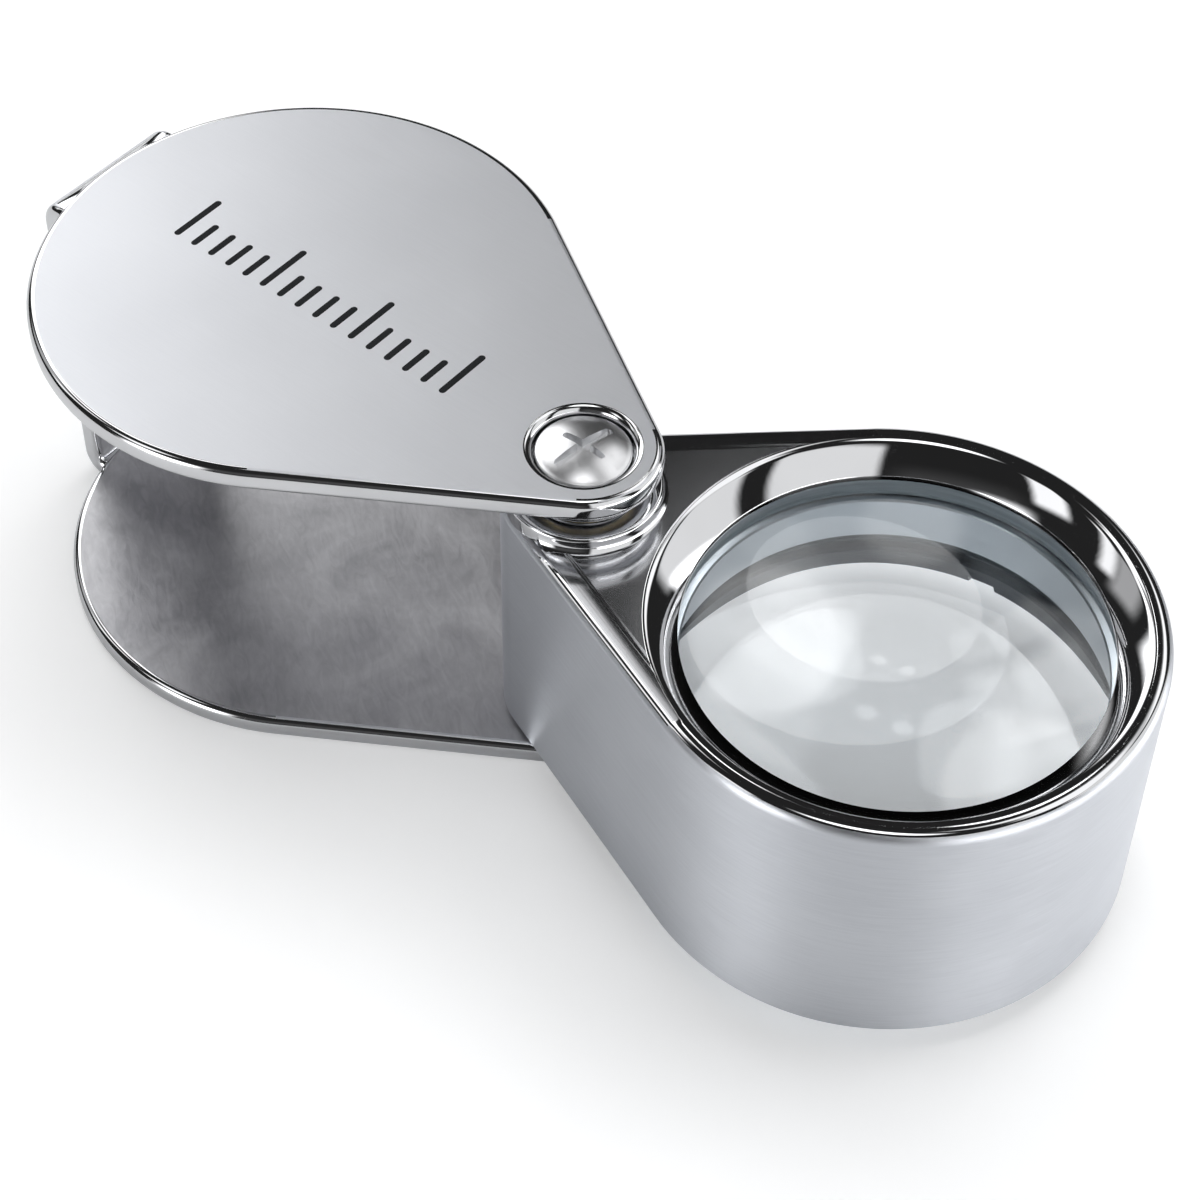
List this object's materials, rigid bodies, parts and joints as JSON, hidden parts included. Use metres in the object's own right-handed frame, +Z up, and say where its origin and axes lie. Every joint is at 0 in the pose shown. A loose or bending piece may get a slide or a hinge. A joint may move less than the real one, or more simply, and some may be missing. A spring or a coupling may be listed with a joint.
{
  "type": "folding viewing loupe",
  "caption": "Folding pocket loupe: a lens holder with a lens pair swings out of a bent sheet-metal case on a pivot screw, and folds back in to protect the glass.",
  "frame": {"origin": "on the underside of the case, at the centre of its round end, where it rests on a table", "axes": "+X from the round end along the case to the pivot, +Z up along the pivot axis, from the cheek the object lies on to the cheek with the screw"},
  "size_m": [0.0522, 0.0248, 0.0169],
  "materials": {
    "satin_chrome": "satin chrome-plated sheet steel, fine diagonal brushing outside, dull and mottled inside",
    "polished_chrome": "chrome-plated die casting: mirror polish on the face and bezel, satin on the side wall",
    "screw_chrome": "polished chrome-plated screw",
    "pivot_steel": "plain turned and stamped steel",
    "washer_brass": "plain stamped brass",
    "lens_glass": "clear polished optical glass with ground edges",
    "spacer_aluminium": "turned bare aluminium",
    "ring_aluminium": "turned aluminium, darkened"
  },
  "bodies": {
    "case": {"case_shell": "satin_chrome", "pivot_screw": "screw_chrome", "sleeve_nut": "pivot_steel", "wave_washer": "pivot_steel", "upper_washer": "washer_brass", "lower_washer": "washer_brass"},
    "lens_holder": {"lens_housing": "polished_chrome", "upper_lens": "lens_glass", "lower_lens": "lens_glass", "lens_spacer": "spacer_aluminium", "retaining_ring": "ring_aluminium"}
  },
  "joints": [
    {"name": "holder_pivot", "type": "hinge", "parent": "case", "child": "lens_holder", "pos_m": [0.01543, 0, 0], "axis": [0, 0, 1], "range_deg": [-190.44, 169.56]}
  ]
}
